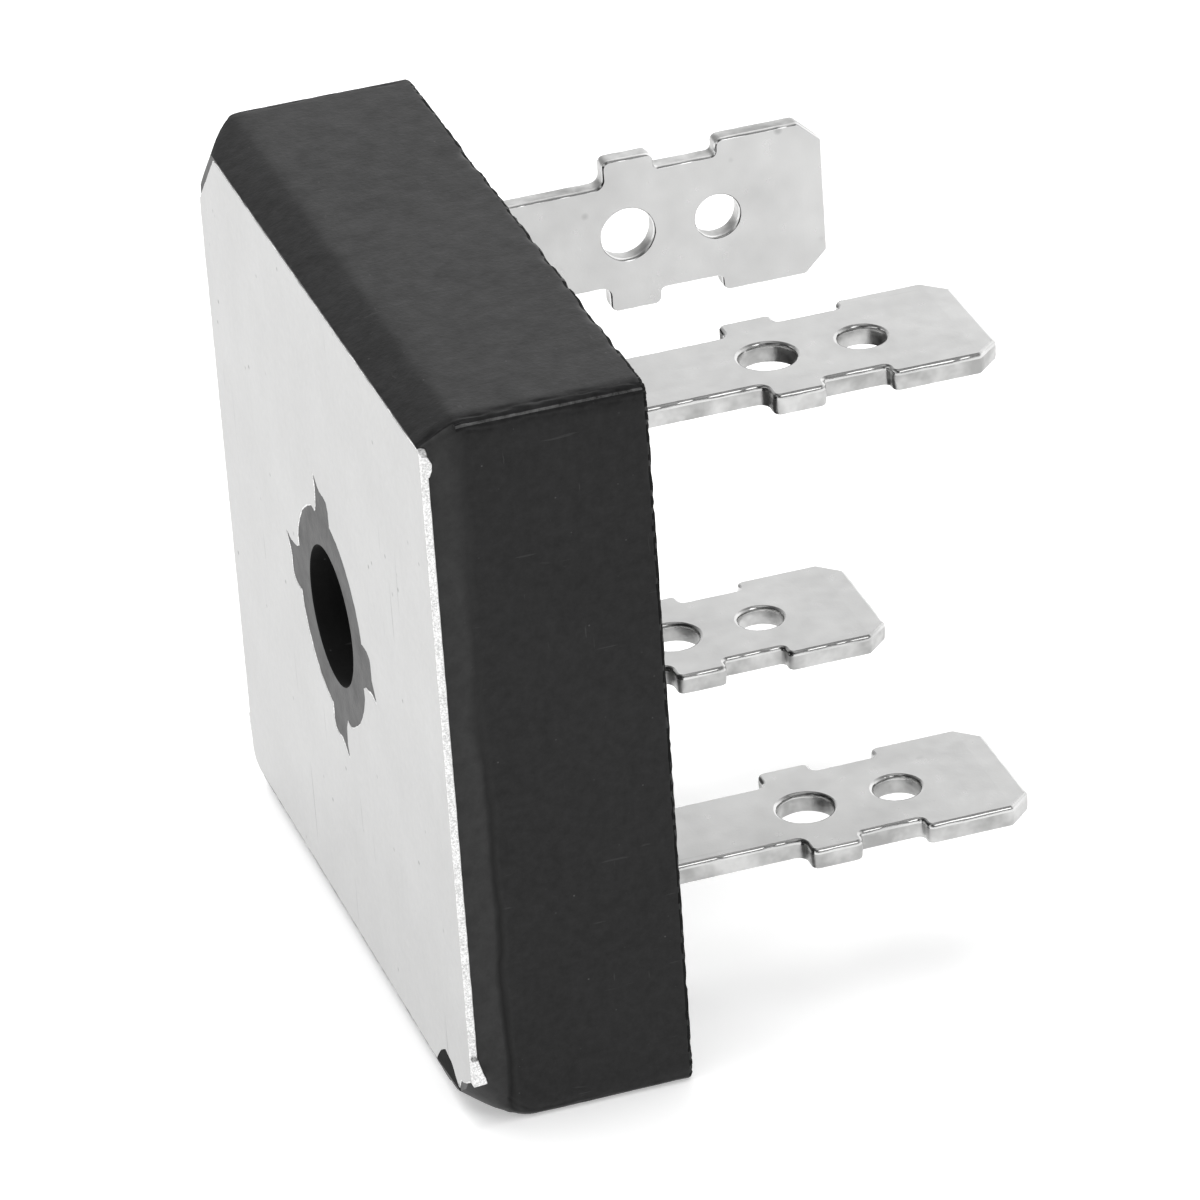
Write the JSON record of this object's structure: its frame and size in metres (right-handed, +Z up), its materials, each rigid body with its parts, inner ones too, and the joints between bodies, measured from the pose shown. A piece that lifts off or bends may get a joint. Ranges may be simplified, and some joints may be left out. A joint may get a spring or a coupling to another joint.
{
  "type": "bridge rectifier",
  "caption": "Square single-phase bridge rectifier: black moulded body on an exposed heat-sink plate, central screw hole, push-on blade terminals.",
  "frame": {"origin": "centre of the screw hole on the heat-sink face", "axes": "+X out of the terminal face, along the screw hole and the blades; +Z up, with the part standing on one side wall; the heat-sink face looks to -X"},
  "size_m": [0.0231, 0.0294, 0.0286],
  "materials": {
    "black_moulding": "matte",
    "plate_metal": "satin",
    "insulation": "matte",
    "tinned_metal": "satin",
    "silicon": "satin",
    "clip_metal": "satin",
    "solder": "satin"
  },
  "bodies": {
    "root": {"case_moulding": "black_moulding", "heatsink_plate": "plate_metal", "insulating_layer": "insulation", "terminal_positive": "tinned_metal", "terminal_negative": "tinned_metal", "terminal_ac_1": "tinned_metal", "terminal_ac_2": "tinned_metal", "diode_chip_1": "silicon", "diode_chip_2": "silicon", "diode_chip_3": "silicon", "diode_chip_4": "silicon", "jumper_clip_1": "clip_metal", "jumper_clip_2": "clip_metal", "jumper_clip_3": "clip_metal", "jumper_clip_4": "clip_metal", "chip_solder": "solder", "clip_solder": "solder", "foot_solder": "solder"}
  },
  "joints": []
}
